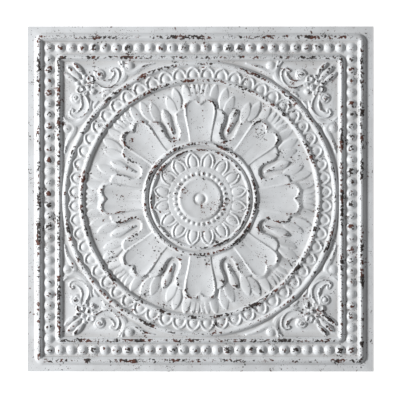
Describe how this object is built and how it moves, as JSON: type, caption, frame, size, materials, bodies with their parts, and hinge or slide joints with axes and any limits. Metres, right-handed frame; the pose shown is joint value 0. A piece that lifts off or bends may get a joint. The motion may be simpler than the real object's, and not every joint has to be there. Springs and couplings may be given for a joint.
{
  "type": "pvc ceiling tile",
  "caption": "Square thin embossed ceiling tile with a flat flange, double ridges with a beaded row between them, corner scrolls and a round petalled medallion.",
  "frame": {"origin": "centre of the sheet's back plane, the plane that the flange's back lies in", "axes": "+Z out of the decorated face, +X and +Y along the sides"},
  "size_m": [0.603, 0.603, 0.0076],
  "materials": {
    "painted_pvc": "distressed off-white paint over dark brown"
  },
  "bodies": {
    "root": {"tile": "painted_pvc"}
  },
  "joints": []
}
